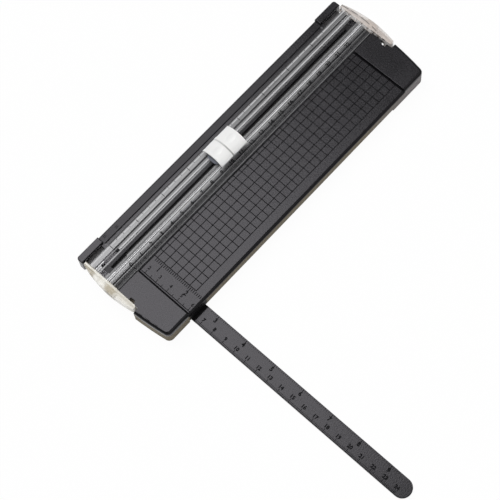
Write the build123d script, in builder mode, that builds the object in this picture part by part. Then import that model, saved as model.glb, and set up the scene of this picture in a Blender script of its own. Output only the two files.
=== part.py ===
"""Portable sliding paper trimmer: a gridded board, a clear lifting rail and a swing-out ruler.

+X runs along the board, +Y points to the hinged back edge, +Z is up and z = 0 is the desk.
The origin is the centre of the board's footprint. All sizes are in millimetres.
"""

from build123d import *
import math
import os

# ---------------------------------------------------------------- board
board_width = 85.0  # front edge to back edge
board_height = 12.0  # desk to the gridded bed
side_half_length = 129.0  # centre to the straight sides beside the rail's arms
end_bulge = 5.2  # widest point of the curved ends beyond the straight sides
crown_y = 4.0  # where the curved ends are widest
end_radius = 253.0  # radius of the curved ends in plan
step_from_cut = 34.6  # step behind the end plates, in front of the cut line
front_corner_radius = 4.0
board_wall = 2.0
bed_thickness = 2.4
front_edge_radius = 2.2  # rounding along the top of the front and the ends
back_edge_radius = 1.4

foot_height = 0.8  # rubber strips hold the board this far off the desk
cover_thickness = 1.6
cover_gap = 0.15  # bottom cover to the inside of the wall

# raised end plates, whose inner edges are the paper fences
fence_inset = 19.0  # fences inside the straight sides
plate_rise = 2.4
fence_edge_radius = 0.4
plate_rail_gap = 0.9  # plates to the front edge of the rail

# notches in the sides that take the hooks of the rail's arms
notch_from_step = 6.45  # step to the middle of a notch
notch_width = 4.5
notch_depth = 2.4

# grid moulded into the bed
grid_pitch = 6.0
grid_columns = 34
grid_rows = 6
grid_from_cut = 18.9  # cut line to the first long line
grid_rail_gap = 0.4  # ends of the short lines to the front edge of the rail
grid_line_width = 0.55
grid_line_depth = 0.3

# ---------------------------------------------------------------- cutting strip
cut_from_back = 21.5  # the line that the blade follows, from the board's back edge
strip_width = 7.0
strip_thickness = 2.0
strip_end = 4.1  # strip beyond each end of its groove
strip_gap = 0.1  # strip to the sides of its channel
strip_recess = 0.1  # strip top below the bed
groove_end_inset = 9.1  # ends of the groove inside the straight sides
groove_width = 1.1
groove_depth = 1.2
strip_rib_height = 1.5  # thickening of the bed below the strip
strip_rib_side = 2.0

# ---------------------------------------------------------------- hinge
hinge_from_face = 1.4  # hinge line behind the front faces of the blocks
hinge_from_bed = 2.0  # hinge line below the bed
block_length = 20.5
block_beyond_side = 2.2  # blocks beyond the straight sides
block_depth = 5.5  # back edge of the board to the front face of a block
block_rise = 2.0
block_corner_radius = 2.0
block_front_corner_radius = 0.6
block_top_radius = 0.7
pin_radius = 0.8
pin_clearance = 0.05  # pin to the knuckle's bore, on the radius
pin_end_recess = 0.3
knuckle_radius = 2.0
knuckle_side_gap = 0.5  # knuckle to the walls that hold the pin
knuckle_swing_gap = 0.3  # knuckle to the back and floor of its pocket
knuckle_roof_gap = 0.7  # room above the knuckle for the bar as it swings
bearing_wall_inner = 2.2  # block wall on the board's side
bearing_wall_outer = 3.0  # block wall at the board's end
bar_swing_gap = 0.4  # hinge bar to the front of its channel, as it swings
hinge_boss_floor = 2.0  # moulding below the knuckle's pocket
shadow_channel_depth = 1.2  # shallow channel between the rail and the back bar
shadow_channel_gap = 0.8  # from the back edge of the rail
back_bar_depth = 6.0

# ---------------------------------------------------------------- clear rail
rail_end_inset = 0.4  # rail's ends inside the straight sides
rail_lift = 0.5  # bed to the underside of the rail, the room for paper
rail_height = 4.7
lip_thickness = 1.3
floor_thickness = 1.2
channel_width = 13.2  # outside width of the slider channel
cavity_width = 8.6
slot_width = 5.4
floor_slot_width = 1.6
front_flange_width = 9.1
back_flange_width = 5.6
flange_root_height = 3.1
flange_edge_height = 2.1
flange_bevel = 0.5
back_step_width = 1.7
back_step_drop = 0.9
scale_groove_from_edge = 4.5  # fine groove between the number row and the tick row
scale_groove_size = 0.3
window_length = 17.0
window_from_end = 4.0  # loading window to the left end of the rail

# ---------------------------------------------------------------- end caps
cap_face_gap = 2.4  # caps to the front faces of the hinge blocks
cap_back_width = 1.9
cap_crown_width = 5.6
cap_crown_from_cut = 8.0  # widest point of a cap, in front of the cut line
cap_underside_drop = 1.4  # lower edge of the arms below the bed
cap_wall = 1.1
cap_side_gap = 0.4  # arm to the board's side
cap_rib = 1.0
cap_rib_offsets = (10.4, 0.0, -10.4, -16.4)  # ribs, from the cut line
arm_end_width = 3.6  # across the arm where its round tip starts
arm_end_gap = 2.6  # start of the round tip to the board's step
hook_width = 2.2
hook_reach = 2.0  # beyond the arm's inner side
hook_drop = 2.4  # below the arm's lower edge
hook_thickness = 1.1
bar_height = 2.6  # bar that joins the cap to its knuckle
bar_front_from_hinge = 4.8
bar_face_gap = 1.4  # bar to the front face of the block, room for its swing
cap_post_depth = 3.0

cap_screw_radius = 0.7
cap_screw_clearance = 0.25
cap_screw_rise = 1.7  # above the underside of the rail
cap_screw_length = 8.0
cap_screw_head_radius = 1.3
cap_screw_head_height = 1.0
cap_screw_access = 0.3  # driver hole around the head, on the radius

# ---------------------------------------------------------------- slider
slider_x = -5.9  # where the slider stands along the rail
slide_gap = 0.15  # carriage to the rail's channel, each side
saddle_length = 27.4
saddle_width = 11.0
saddle_thickness = 1.2
saddle_side_flat = 4.0  # straight part of the saddle's ends
guide_length = 16.0  # the part of the carriage inside the channel
blade_well_gap = 0.25
post_offset = 9.8  # guide posts, from the middle of the slider
post_radius = 0.9
post_clearance = 0.08
post_screw_radius = 0.45
post_screw_head_radius = 1.5
post_screw_head_height = 0.7
post_screw_length = 3.0

press_travel = 1.7
press_rim_gap = 0.3  # cap's rim to the lips when it is pressed
press_cap_length = 25.0
press_cap_width = 18.4
press_cap_side_height = 1.0  # straight sides below the arch
press_cap_rise = 3.6  # arch above its front and back edges
press_cap_wall = 1.3
seat_drop = 0.4  # flat seats for the holder and the springs, below the inside of the arch
seat_radius = 1.9
ridge_width = 2.2
ridge_rise = 0.7
ridge_edge_radius = 0.5
dish_depth = 0.5
dish_radius = 15.0
dish_offset = 6.6

holder_length = 10.0
holder_thickness = 2.0
holder_floor_gap = 0.1  # holder to the channel's floor when it is pressed
blade_thickness = 0.5
blade_length = 7.0
blade_socket = 4.0  # blade inside its holder
blade_hidden = 0.4  # blade's tip above the underside of the rail
rivet_radius = 0.8
rivet_rise = 2.5

spring_wire_radius = 0.2
spring_radius = 1.45
spring_turns = 5

# ---------------------------------------------------------------- ruler
ruler_from_fence = 8.3  # left fence to the middle of the ruler
pivot_from_front = 11.0
ruler_reach = 196.8  # pivot to the tip
ruler_width = 14.0
ruler_thickness = 1.8
ruler_lift = 0.7  # desk to the underside of the ruler
ruler_edge_chamfer = 0.4
bay_clearance = 0.5  # ruler's top to the ceiling of its bay
bay_side_gap = 1.8
bay_end_gap = 3.0
bay_back_gap = 2.9
ceiling_thickness = 1.6

bush_wall = 0.7
bush_flange_radius = 3.6
bush_flange_height = 0.4
pivot_radius = 2.0
pivot_clearance = 0.05
pivot_head_radius = 3.4
pivot_head_height = 0.5
pivot_thread_radius = 1.5
pivot_thread_length = 3.6
pivot_boss_radius = 4.2
washer_radius = 4.6
washer_gap = 0.03

# ---------------------------------------------------------------- cover screws and feet
cover_screw_radius = 1.1
cover_screw_head_radius = 2.3
cover_screw_head_height = 0.8
cover_screw_recess = 0.15
cover_screw_length = 6.0
cover_screw_fit = 0.1  # cover's hole to the screw, on the radius
cover_boss_radius = 3.2
rear_screw_inset = 34.0  # outer rear screws inside the straight sides
rear_screw_from_back = 13.5
front_screw_spacing = 65.0
front_screw_from_pivot = 46.7  # ruler's pivot to the first front screw

centre_foot_length = 120.0
end_foot_length = 60.0
end_foot_inset = 10.0  # middle of an end strip inside the straight sides
foot_width = 8.0

# ---------------------------------------------------------------- worked out from the above
front_y = -board_width / 2
back_y = board_width / 2
cut_y = back_y - cut_from_back
step_y = cut_y - step_from_cut
notch_y = step_y + notch_from_step
crown_half_length = side_half_length + end_bulge
fence_x = side_half_length - fence_inset
bed_underside = board_height - bed_thickness
cover_top = foot_height + cover_thickness

groove_half_length = side_half_length - groove_end_inset
strip_half_length = groove_half_length + strip_end
strip_top = board_height - strip_recess
strip_bottom = strip_top - strip_thickness

block_front_y = back_y - block_depth
block_end_x = side_half_length + block_beyond_side
block_inner_x = block_end_x - block_length
hinge_y = block_front_y + hinge_from_face
hinge_z = board_height - hinge_from_bed
pocket_z = hinge_z - knuckle_radius - knuckle_swing_gap
pocket_roof = hinge_z + knuckle_radius + knuckle_roof_gap
pocket_back_y = hinge_y + knuckle_radius + knuckle_swing_gap
pocket_inner_x = block_inner_x + bearing_wall_inner
pocket_outer_x = block_end_x - bearing_wall_outer
knuckle_inner_x = pocket_inner_x + knuckle_side_gap
knuckle_outer_x = pocket_outer_x - knuckle_side_gap
bar_front_y = hinge_y - bar_front_from_hinge
bar_back_y = block_front_y - bar_face_gap
bar_bottom_z = hinge_z - bar_height / 2
bar_swing_radius = math.hypot(bar_front_from_hinge, bar_height / 2)
bar_channel_front_y = hinge_y - bar_swing_radius - bar_swing_gap

rail_half_length = side_half_length - rail_end_inset
rail_z = board_height + rail_lift
rail_top = rail_z + rail_height
rail_front_y = cut_y - channel_width / 2 - front_flange_width
rail_back_y = cut_y + channel_width / 2 + back_flange_width
cavity_bottom = rail_z + floor_thickness
cavity_top = rail_top - lip_thickness
window_x = window_from_end + window_length / 2 - rail_half_length
plate_back_y = rail_front_y - plate_rail_gap
grid_back_y = rail_front_y - grid_rail_gap
shadow_channel_front_y = rail_back_y + shadow_channel_gap

arm_inner_x = side_half_length + cap_side_gap
arm_end_x = arm_inner_x + arm_end_width
arm_end_y = step_y + arm_end_gap
cap_back_x = arm_inner_x + cap_back_width
cap_back_y = block_front_y - cap_face_gap
cap_crown_x = arm_inner_x + cap_crown_width
cap_crown_y = cut_y - cap_crown_from_cut
cap_underside = board_height - cap_underside_drop
cap_screw_z = rail_z + cap_screw_rise
cap_screw_side = (channel_width + cavity_width) / 4
cap_screw_rows = (cut_y - cap_screw_side, cut_y + cap_screw_side)
inner_wall_x = arm_inner_x + cap_wall

saddle_z = rail_top + slide_gap
saddle_top = saddle_z + saddle_thickness
blade_well_length = holder_length + 2 * blade_well_gap
blade_well_width = holder_thickness + 2 * blade_well_gap
press_cap_rim_z = rail_top + press_travel + press_rim_gap
press_cap_edge_z = press_cap_rim_z + press_cap_side_height
press_cap_crown_z = press_cap_edge_z + press_cap_rise
inner_crown_z = press_cap_crown_z - press_cap_wall
seat_z = inner_crown_z - seat_drop
holder_bottom_z = cavity_bottom + press_travel + holder_floor_gap
blade_tip_z = rail_z + blade_hidden
blade_top_z = holder_bottom_z + blade_socket
rivet_z = holder_bottom_z + rivet_rise

ruler_x = ruler_from_fence - fence_x
ruler_y = front_y + pivot_from_front
ruler_top = ruler_lift + ruler_thickness
bay_ceiling = ruler_top + bay_clearance
bay_left_x = ruler_x - ruler_width / 2 - bay_side_gap
bay_right_x = ruler_x + ruler_reach + bay_end_gap
bay_back_y = ruler_y + ruler_width / 2 + bay_back_gap
ceiling_top = bay_ceiling + ceiling_thickness

rear_screw_y = back_y - rear_screw_from_back
rear_screw_x = side_half_length - rear_screw_inset
rear_screw_places = [(column * rear_screw_x, rear_screw_y) for column in (-1, 0, 1)]
front_screw_x = ruler_x + front_screw_from_pivot
front_screw_places = [(front_screw_x + column * front_screw_spacing, ruler_y) for column in range(3)]
far = 2 * crown_half_length  # longer than anything that a cut has to clear
same_place = 0.01  # points nearer to each other than this coincide

MIN_Z = (Align.CENTER, Align.CENTER, Align.MIN)
MAX_Z = (Align.CENTER, Align.CENTER, Align.MAX)
LOW_CORNER = (Align.MIN, Align.MIN, Align.MIN)


def end_x(y):
    """Half length of the curved ends at a distance y from the board's middle."""
    return crown_half_length - end_radius + math.sqrt(end_radius**2 - (y - crown_y) ** 2)


def along_x(x, y, z):
    """Place a solid so that its own Z axis runs along +X from a point."""
    return Location((x, y, z), (0, 90, 0))


def board_outline(rounded):
    """Footprint of the board, with its corners rounded or left sharp."""
    plate_middle_y = (front_y + step_y) / 2
    notch_front_y = notch_y - notch_width / 2
    notch_back_y = notch_y + notch_width / 2
    with BuildSketch() as outline:
        with BuildLine():
            Line((0, front_y), (end_x(front_y), front_y))
            ThreePointArc(
                (end_x(front_y), front_y),
                (end_x(plate_middle_y), plate_middle_y),
                (end_x(step_y), step_y),
            )
            Polyline(
                (end_x(step_y), step_y),
                (side_half_length, step_y),
                (side_half_length, notch_front_y),
                (side_half_length - notch_depth, notch_front_y),
                (side_half_length - notch_depth, notch_back_y),
                (side_half_length, notch_back_y),
                (side_half_length, block_front_y),
                (block_end_x, block_front_y),
                (block_end_x, back_y),
                (0, back_y),
            )
            mirror(about=Plane.YZ)
        make_face()
        if rounded:
            front_row = outline.vertices().group_by(Axis.Y)[0].sort_by(Axis.X)
            fillet([front_row[0], front_row[-1]], front_corner_radius)
            block_corners = outline.vertices().filter_by(lambda v: abs(abs(v.X) - block_end_x) < same_place)
            corner_rows = block_corners.group_by(Axis.Y)
            fillet(corner_rows[-1], block_corner_radius)
            fillet(corner_rows[0], block_front_corner_radius)
    return outline.sketch


def fence_edge(edge):
    """Whether an edge of the board lies in the plane of a fence."""
    return abs(abs(edge.center().X) - fence_x) < same_place


def open_front_edge(edge):
    """Whether an edge lies along the open front or a curved end of the board."""
    return edge.center().Y < step_y - same_place and not fence_edge(edge)


# ---------------------------------------------------------------- base shell
# raised end plates, whose inner edges are the fences
with BuildPart() as end_plates:
    with BuildSketch(Plane.XY.offset(bed_underside)):
        add(board_outline(rounded=True))
        Rectangle(2 * fence_x, far, mode=Mode.SUBTRACT)
        with Locations((0, plate_back_y + far / 2)):
            Rectangle(2 * far, far, mode=Mode.SUBTRACT)
    extrude(amount=bed_thickness + plate_rise)
    plate_rims = end_plates.faces().filter_by(Plane.XY).sort_by(Axis.Z)[-2:].edges()
    fillet(plate_rims.filter_by(open_front_edge), front_edge_radius)
    plate_rims = end_plates.faces().filter_by(Plane.XY).sort_by(Axis.Z)[-2:].edges()
    fillet(plate_rims.filter_by(fence_edge), fence_edge_radius)

# hinge blocks at the back corners
with BuildPart() as hinge_blocks:
    with BuildSketch(Plane.XY.offset(bed_underside)):
        add(board_outline(rounded=True))
        Rectangle(2 * block_inner_x, far, mode=Mode.SUBTRACT)
        with Locations((0, block_front_y - far / 2)):
            Rectangle(2 * far, far, mode=Mode.SUBTRACT)
    extrude(amount=bed_thickness + block_rise)
    fillet(hinge_blocks.faces().filter_by(Plane.XY).sort_by(Axis.Z)[-2:].edges(), block_top_radius)

with BuildPart() as base_shell:
    with BuildSketch(Plane.XY.offset(foot_height)):
        add(board_outline(rounded=True))
    extrude(amount=board_height - foot_height)
    fillet(base_shell.faces().sort_by(Axis.Z)[-1].edges().filter_by(open_front_edge), front_edge_radius)
    fillet(base_shell.faces().sort_by(Axis.Z)[-1].edges().sort_by(Axis.Y)[-1], back_edge_radius)
    add(end_plates.part)
    add(hinge_blocks.part)

    # hollow underneath
    with BuildSketch(Plane.XY.offset(foot_height)):
        add(board_outline(rounded=False))
        offset(amount=-board_wall, kind=Kind.INTERSECTION)
    extrude(amount=bed_underside - foot_height, mode=Mode.SUBTRACT)

    # rib that thickens the bed below the cutting strip
    with Locations((0, cut_y, bed_underside)):
        Box(
            2 * (strip_half_length + strip_rib_side),
            strip_width + 2 * strip_rib_side,
            strip_rib_height,
            align=MAX_Z,
        )
    # channel of the cutting strip
    with Locations((0, cut_y, strip_bottom)):
        Box(
            2 * (strip_half_length + strip_gap),
            strip_width + 2 * strip_gap,
            strip_thickness + strip_recess,
            align=MIN_Z,
            mode=Mode.SUBTRACT,
        )
    # shallow channel in front of the back bar
    channel_depth_y = back_y - back_bar_depth - shadow_channel_front_y
    with Locations((0, shadow_channel_front_y + channel_depth_y / 2, board_height)):
        Box(2 * block_inner_x, channel_depth_y, shadow_channel_depth, align=MAX_Z, mode=Mode.SUBTRACT)

    # hinges: a solid boss, the knuckle's pocket, the bar's channel and the pin's hole
    boss_front_y = bar_channel_front_y - board_wall
    boss_back_y = back_y - board_wall / 2
    boss_end_x = side_half_length - board_wall / 2
    boss_z = pocket_z - hinge_boss_floor
    for side in (-1, 1):
        boss_x = side * (block_inner_x + boss_end_x) / 2
        with Locations((boss_x, (boss_front_y + boss_back_y) / 2, boss_z)):
            Box(boss_end_x - block_inner_x, boss_back_y - boss_front_y, board_height - boss_z, align=MIN_Z)
        pocket_x = side * (pocket_inner_x + pocket_outer_x) / 2
        with Locations((pocket_x, (bar_channel_front_y + pocket_back_y) / 2, pocket_z)):
            Box(
                pocket_outer_x - pocket_inner_x,
                pocket_back_y - bar_channel_front_y,
                pocket_roof - pocket_z,
                align=MIN_Z,
                mode=Mode.SUBTRACT,
            )
        channel_x = side * (pocket_inner_x + far / 2)
        with Locations((channel_x, (bar_channel_front_y + block_front_y) / 2, pocket_z)):
            Box(far, block_front_y - bar_channel_front_y, far, align=MIN_Z, mode=Mode.SUBTRACT)
        pin_hole_x = min(side * (block_inner_x + pin_end_recess), side * far)
        with Locations(along_x(pin_hole_x, hinge_y, hinge_z)):
            Cylinder(pin_radius, far - block_inner_x - pin_end_recess, align=MIN_Z, mode=Mode.SUBTRACT)

    # grid
    grid_x0 = fence_x - grid_columns * grid_pitch
    grid_y0 = cut_y - grid_from_cut
    grid_y1 = grid_y0 - grid_rows * grid_pitch
    with BuildSketch(Plane.XY.offset(board_height)):
        for column in range(grid_columns):
            with Locations((grid_x0 + column * grid_pitch, (grid_y1 + grid_back_y) / 2)):
                Rectangle(grid_line_width, grid_back_y - grid_y1 + grid_line_width)
        for row in range(grid_rows + 1):
            with Locations(((grid_x0 + fence_x) / 2, grid_y0 - row * grid_pitch)):
                Rectangle(fence_x - grid_x0 + grid_line_width, grid_line_width)
    extrude(amount=-grid_line_depth, mode=Mode.SUBTRACT)

    # the front wall stands clear of the folded ruler
    with Locations((bay_left_x, front_y - board_wall, 0)):
        Box(
            bay_right_x - bay_left_x,
            3 * board_wall,
            bay_ceiling,
            align=LOW_CORNER,
            mode=Mode.SUBTRACT,
        )

    # bosses for the cover's screws and the ruler's pivot
    with Locations(*[(x, y, cover_top) for x, y in rear_screw_places]):
        Cylinder(cover_boss_radius, bed_underside - cover_top, align=MIN_Z)
    with Locations(*[(x, y, ceiling_top) for x, y in front_screw_places]):
        Cylinder(cover_boss_radius, bed_underside - ceiling_top, align=MIN_Z)
    with Locations((ruler_x, ruler_y, ceiling_top)):
        Cylinder(pivot_boss_radius, bed_underside - ceiling_top, align=MIN_Z)
    rear_thread_z = foot_height + cover_screw_recess + cover_screw_head_height
    front_thread_z = bay_ceiling + cover_screw_recess + cover_screw_head_height
    with Locations(
        *[(x, y, rear_thread_z) for x, y in rear_screw_places],
        *[(x, y, front_thread_z) for x, y in front_screw_places],
    ):
        Cylinder(cover_screw_radius, cover_screw_length, align=MIN_Z, mode=Mode.SUBTRACT)
    with Locations((ruler_x, ruler_y, ceiling_top)):
        Cylinder(pivot_thread_radius, pivot_thread_length, align=MIN_Z, mode=Mode.SUBTRACT)
base_shell.part.label = "base_shell"

# ---------------------------------------------------------------- bottom cover
with BuildPart() as bottom_cover:
    with BuildSketch(Plane.XY.offset(foot_height)):
        add(board_outline(rounded=False))
        offset(amount=-board_wall - cover_gap, kind=Kind.INTERSECTION)
    extrude(amount=cover_thickness)
    # the step over the ruler's bay
    cover_front_y = front_y + board_wall + cover_gap
    with Locations((bay_left_x - cover_thickness, cover_front_y, foot_height)):
        Box(
            bay_right_x - bay_left_x + 2 * cover_thickness,
            bay_back_y + cover_thickness - cover_front_y,
            ceiling_top - foot_height,
            align=LOW_CORNER,
        )
    with Locations((bay_left_x, front_y, 0)):
        Box(
            bay_right_x - bay_left_x,
            bay_back_y - front_y,
            bay_ceiling,
            align=LOW_CORNER,
            mode=Mode.SUBTRACT,
        )
    # screw holes with flat recesses
    for places, face_z in ((rear_screw_places, foot_height), (front_screw_places, bay_ceiling)):
        with Locations(*[(x, y, face_z) for x, y in places]):
            Cylinder(cover_screw_radius + cover_screw_fit, far, mode=Mode.SUBTRACT)
            Cylinder(
                cover_screw_head_radius + cover_screw_fit,
                cover_screw_recess + cover_screw_head_height,
                align=MIN_Z,
                mode=Mode.SUBTRACT,
            )
    with Locations((ruler_x, ruler_y, 0)):
        Cylinder(pivot_radius + cover_screw_fit, far, mode=Mode.SUBTRACT)
bottom_cover.part.label = "bottom_cover"

# ---------------------------------------------------------------- cover screws
with BuildPart() as cover_screws:
    for places, face_z in ((rear_screw_places, foot_height), (front_screw_places, bay_ceiling)):
        with Locations(*[(x, y, face_z + cover_screw_recess) for x, y in places]):
            Cylinder(cover_screw_head_radius, cover_screw_head_height, align=MIN_Z)
            Cylinder(cover_screw_radius, cover_screw_head_height + cover_screw_length, align=MIN_Z)
            Cylinder(cover_screw_radius, cover_screw_head_height / 2, align=MIN_Z, mode=Mode.SUBTRACT)
cover_screws.part.label = "cover_screws"

# ---------------------------------------------------------------- cutting strip
with BuildPart() as cutting_strip:
    with Locations((0, cut_y, strip_bottom)):
        Box(2 * strip_half_length, strip_width, strip_thickness, align=MIN_Z)
    with Locations((0, cut_y, strip_top)):
        Box(2 * groove_half_length, groove_width, groove_depth, align=MAX_Z, mode=Mode.SUBTRACT)
cutting_strip.part.label = "cutting_strip"

# ---------------------------------------------------------------- rubber feet
with BuildPart() as foot_strip_centre:
    with BuildSketch():
        SlotOverall(centre_foot_length, foot_width)
    extrude(amount=foot_height)
foot_strip_centre.part.label = "foot_strip_centre"

end_feet = {}
for side, name in ((-1, "foot_strip_left"), (1, "foot_strip_right")):
    with BuildPart() as foot:
        with BuildSketch():
            with Locations((side * (side_half_length - end_foot_inset), 0)):
                SlotOverall(end_foot_length, foot_width, rotation=90)
        extrude(amount=foot_height)
    foot.part.label = name
    end_feet[name] = foot.part

# ---------------------------------------------------------------- hinge pins
hinge_pins = {}
for side, name in ((-1, "hinge_pin_left"), (1, "hinge_pin_right")):
    with BuildPart() as pin:
        pin_start_x = block_inner_x + pin_end_recess
        pin_end_x = block_end_x - pin_end_recess
        with Locations(along_x(min(side * pin_start_x, side * pin_end_x), hinge_y, hinge_z)):
            Cylinder(pin_radius, pin_end_x - pin_start_x, align=MIN_Z)
    pin.part.label = name
    hinge_pins[name] = pin.part

# ---------------------------------------------------------------- clear rail
with BuildPart() as clear_rail:
    with BuildSketch(Plane.YZ) as rail_profile:
        channel_front_y = cut_y - channel_width / 2
        channel_back_y = cut_y + channel_width / 2
        flange_root_z = rail_z + flange_root_height
        flange_edge_z = rail_z + flange_edge_height
        back_step_z = rail_z + flange_root_height - back_step_drop
        with BuildLine():
            Polyline(
                (rail_front_y, rail_z),
                (rail_front_y, flange_edge_z - flange_bevel),
                (rail_front_y + flange_bevel, flange_edge_z),
                (channel_front_y, flange_root_z),
                (channel_front_y, rail_top),
                (channel_back_y, rail_top),
                (channel_back_y, flange_root_z),
                (rail_back_y - back_step_width, flange_root_z),
                (rail_back_y - back_step_width, back_step_z),
                (rail_back_y, back_step_z),
                (rail_back_y, rail_z),
                close=True,
            )
        make_face()
        with Locations((cut_y, (cavity_bottom + cavity_top) / 2)):
            Rectangle(cavity_width, cavity_top - cavity_bottom, mode=Mode.SUBTRACT)
            Rectangle(slot_width, far, align=(Align.CENTER, Align.MIN), mode=Mode.SUBTRACT)
        scale_slope = (flange_root_z - flange_edge_z) / (front_flange_width - flange_bevel)
        scale_groove_z = flange_edge_z + scale_slope * (scale_groove_from_edge - flange_bevel)
        with Locations((rail_front_y + scale_groove_from_edge, scale_groove_z)):
            Rectangle(scale_groove_size, 2 * scale_groove_size, mode=Mode.SUBTRACT)
    extrude(amount=rail_half_length, both=True)
    # slot that the blade reaches through
    with Locations((0, cut_y, rail_z)):
        Box(2 * groove_half_length, floor_slot_width, far, mode=Mode.SUBTRACT)
    # loading window in the lips
    with Locations((window_x, cut_y, cavity_top)):
        Box(window_length, cavity_width, far, align=MIN_Z, mode=Mode.SUBTRACT)
    # pilot holes for the end caps' screws
    for side in (-1, 1):
        hole_x = min(side * rail_half_length, side * (rail_half_length - cap_screw_length))
        with Locations(*[along_x(hole_x, y, cap_screw_z) for y in cap_screw_rows]):
            Cylinder(cap_screw_radius, cap_screw_length, align=MIN_Z, mode=Mode.SUBTRACT)
clear_rail.part.label = "clear_rail"


# ---------------------------------------------------------------- end caps
def cap_outline():
    """Plan of the right end cap: a curved arm with a round tip beside the board's straight side."""
    tip_radius = (arm_end_x - arm_inner_x) / 2
    with BuildSketch() as plan:
        with BuildLine():
            ThreePointArc((cap_back_x, cap_back_y), (cap_crown_x, cap_crown_y), (arm_end_x, arm_end_y))
            ThreePointArc(
                (arm_end_x, arm_end_y),
                (arm_end_x - tip_radius, arm_end_y - tip_radius),
                (arm_inner_x, arm_end_y),
            )
            Line((arm_inner_x, arm_end_y), (arm_inner_x, cap_back_y))
            Line((arm_inner_x, cap_back_y), (cap_back_x, cap_back_y))
        make_face()
    return plan.sketch


with BuildPart() as right_cap:
    with BuildSketch(Plane.XY.offset(cap_underside)):
        add(cap_outline())
    extrude(amount=rail_top - cap_underside)
    # pockets from below, between the walls and the ribs
    with BuildSketch(Plane.XY.offset(cap_underside)):
        add(cap_outline())
        offset(amount=-cap_wall, kind=Kind.INTERSECTION)
        for rib_offset in cap_rib_offsets:
            with Locations((inner_wall_x, cut_y + rib_offset)):
                Rectangle(far, cap_rib, mode=Mode.SUBTRACT)
    extrude(amount=rail_top - cap_wall - cap_underside, mode=Mode.SUBTRACT)
    # flange against the end of the rail
    with Locations((rail_half_length, rail_front_y, rail_z)):
        Box(
            inner_wall_x - rail_half_length,
            cap_back_y - rail_front_y,
            rail_height,
            align=LOW_CORNER,
        )
    # post at the back, which carries the hinge bar and the knuckle
    with Locations((arm_inner_x, cap_back_y - cap_post_depth, bar_bottom_z)):
        Box(cap_back_x - arm_inner_x, cap_post_depth, rail_top - bar_bottom_z, align=LOW_CORNER)
    with Locations((knuckle_inner_x, bar_front_y, bar_bottom_z)):
        Box(inner_wall_x - knuckle_inner_x, bar_back_y - bar_front_y, bar_height, align=LOW_CORNER)
        Box(
            knuckle_outer_x - knuckle_inner_x,
            hinge_y - bar_front_y,
            bar_height,
            align=LOW_CORNER,
        )
    with Locations(along_x(knuckle_inner_x, hinge_y, hinge_z)):
        Cylinder(knuckle_radius, knuckle_outer_x - knuckle_inner_x, align=MIN_Z)
        Cylinder(
            pin_radius + pin_clearance,
            knuckle_outer_x - knuckle_inner_x,
            align=MIN_Z,
            mode=Mode.SUBTRACT,
        )
    # hook that drops into the board's notch
    with Locations((arm_inner_x - hook_reach, notch_y, cap_underside - hook_drop)):
        Box(
            hook_reach + cap_wall,
            hook_width,
            hook_thickness,
            align=(Align.MIN, Align.CENTER, Align.MIN),
        )
    with Locations((arm_inner_x, notch_y, cap_underside - hook_drop)):
        Box(
            cap_wall,
            hook_width,
            hook_drop + cap_wall,
            align=(Align.MIN, Align.CENTER, Align.MIN),
        )
    # screw holes and the driver holes in the outer wall
    with Locations(*[along_x(rail_half_length, y, cap_screw_z) for y in cap_screw_rows]):
        Cylinder(cap_screw_radius + cap_screw_clearance, far, align=MIN_Z, mode=Mode.SUBTRACT)
    with Locations(*[along_x(inner_wall_x, y, cap_screw_z) for y in cap_screw_rows]):
        Cylinder(cap_screw_head_radius + cap_screw_access, far, align=MIN_Z, mode=Mode.SUBTRACT)
with BuildPart() as left_cap:
    mirror(right_cap.part, about=Plane.YZ)
right_cap.part.label = "end_cap_right"
left_cap.part.label = "end_cap_left"

with BuildPart() as end_cap_screws:
    for side in (-1, 1):
        shank_x = min(side * inner_wall_x, side * (rail_half_length - cap_screw_length))
        head_x = min(side * inner_wall_x, side * (inner_wall_x + cap_screw_head_height))
        shank_length = inner_wall_x - rail_half_length + cap_screw_length
        for y in cap_screw_rows:
            with Locations(along_x(shank_x, y, cap_screw_z)):
                Cylinder(cap_screw_radius, shank_length, align=MIN_Z)
            with Locations(along_x(head_x, y, cap_screw_z)):
                Cylinder(cap_screw_head_radius, cap_screw_head_height, align=MIN_Z)
end_cap_screws.part.label = "end_cap_screws"

# ---------------------------------------------------------------- slider carriage
neck_width = slot_width - 2 * slide_gap
guide_width = cavity_width - 2 * slide_gap
guide_bottom = cavity_bottom + slide_gap
guide_top = cavity_top - slide_gap
post_places = [(slider_x - post_offset, cut_y), (slider_x + post_offset, cut_y)]
with BuildPart() as slider_carriage:
    with BuildSketch(Plane.XY.offset(saddle_z)):
        with Locations((slider_x, cut_y)):
            RectangleRounded(saddle_length, saddle_width, (saddle_width - saddle_side_flat) / 2)
    extrude(amount=saddle_thickness)
    with Locations((slider_x, cut_y, guide_bottom)):
        Box(guide_length, neck_width, saddle_z - guide_bottom, align=MIN_Z)
        Box(guide_length, guide_width, guide_top - guide_bottom, align=MIN_Z)
        Box(blade_well_length, blade_well_width, far, align=MIN_Z, mode=Mode.SUBTRACT)
    with Locations((slider_x, cut_y, 0)):
        Box(
            blade_length + 2 * blade_well_gap,
            blade_thickness + 2 * blade_well_gap,
            far,
            mode=Mode.SUBTRACT,
        )
    with Locations(*[(x, y, saddle_z) for x, y in post_places]):
        Cylinder(post_radius + post_clearance, far, mode=Mode.SUBTRACT)
slider_carriage.part.label = "slider_carriage"

# ---------------------------------------------------------------- press cap
crown_radius = ((press_cap_width / 2) ** 2 + press_cap_rise**2) / (2 * press_cap_rise)


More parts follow.
